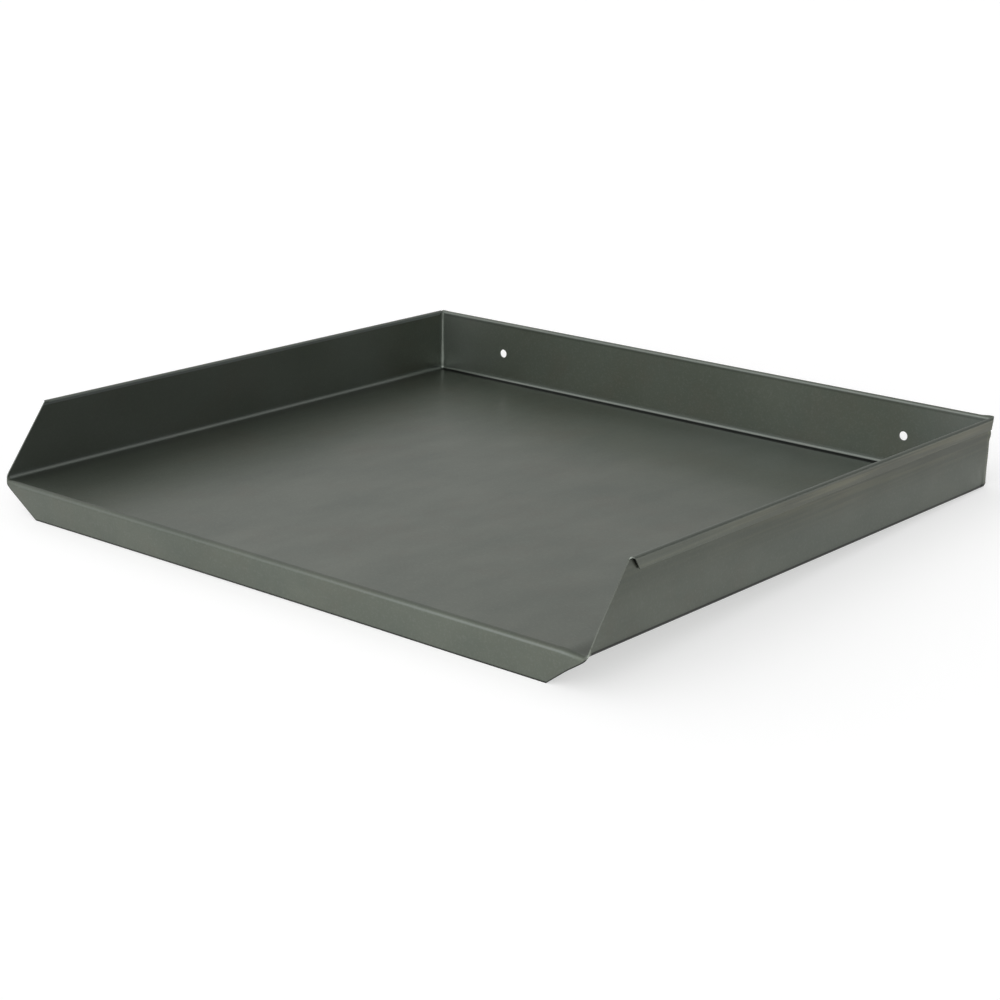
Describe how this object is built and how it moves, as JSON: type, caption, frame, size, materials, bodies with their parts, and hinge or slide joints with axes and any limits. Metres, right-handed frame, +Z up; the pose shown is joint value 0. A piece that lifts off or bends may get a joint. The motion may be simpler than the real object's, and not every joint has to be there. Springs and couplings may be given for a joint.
{
  "type": "oil drain pan",
  "caption": "Shallow open-fronted sheet-steel tray with hemmed side and back walls, a turned-down front lip and bolt holes in the back wall.",
  "frame": {"origin": "bottom centre of the overall box, level with the lower edge of the front lip", "axes": "+Z up with the floor panel level, +Y from the open front to the back wall, +X to the right as seen from the front"},
  "size_m": [0.5146, 0.461, 0.074],
  "materials": {
    "sheet_steel": "bare cold-rolled sheet steel with a dull, slightly oily satin mill finish"
  },
  "bodies": {
    "root": {"floor_panel": "sheet_steel", "left_wall": "sheet_steel", "right_wall": "sheet_steel", "back_wall": "sheet_steel", "left_wall_hem": "sheet_steel", "right_wall_hem": "sheet_steel", "back_wall_hem": "sheet_steel", "left_rear_corner_fold": "sheet_steel", "right_rear_corner_fold": "sheet_steel", "front_lip": "sheet_steel"}
  },
  "joints": []
}
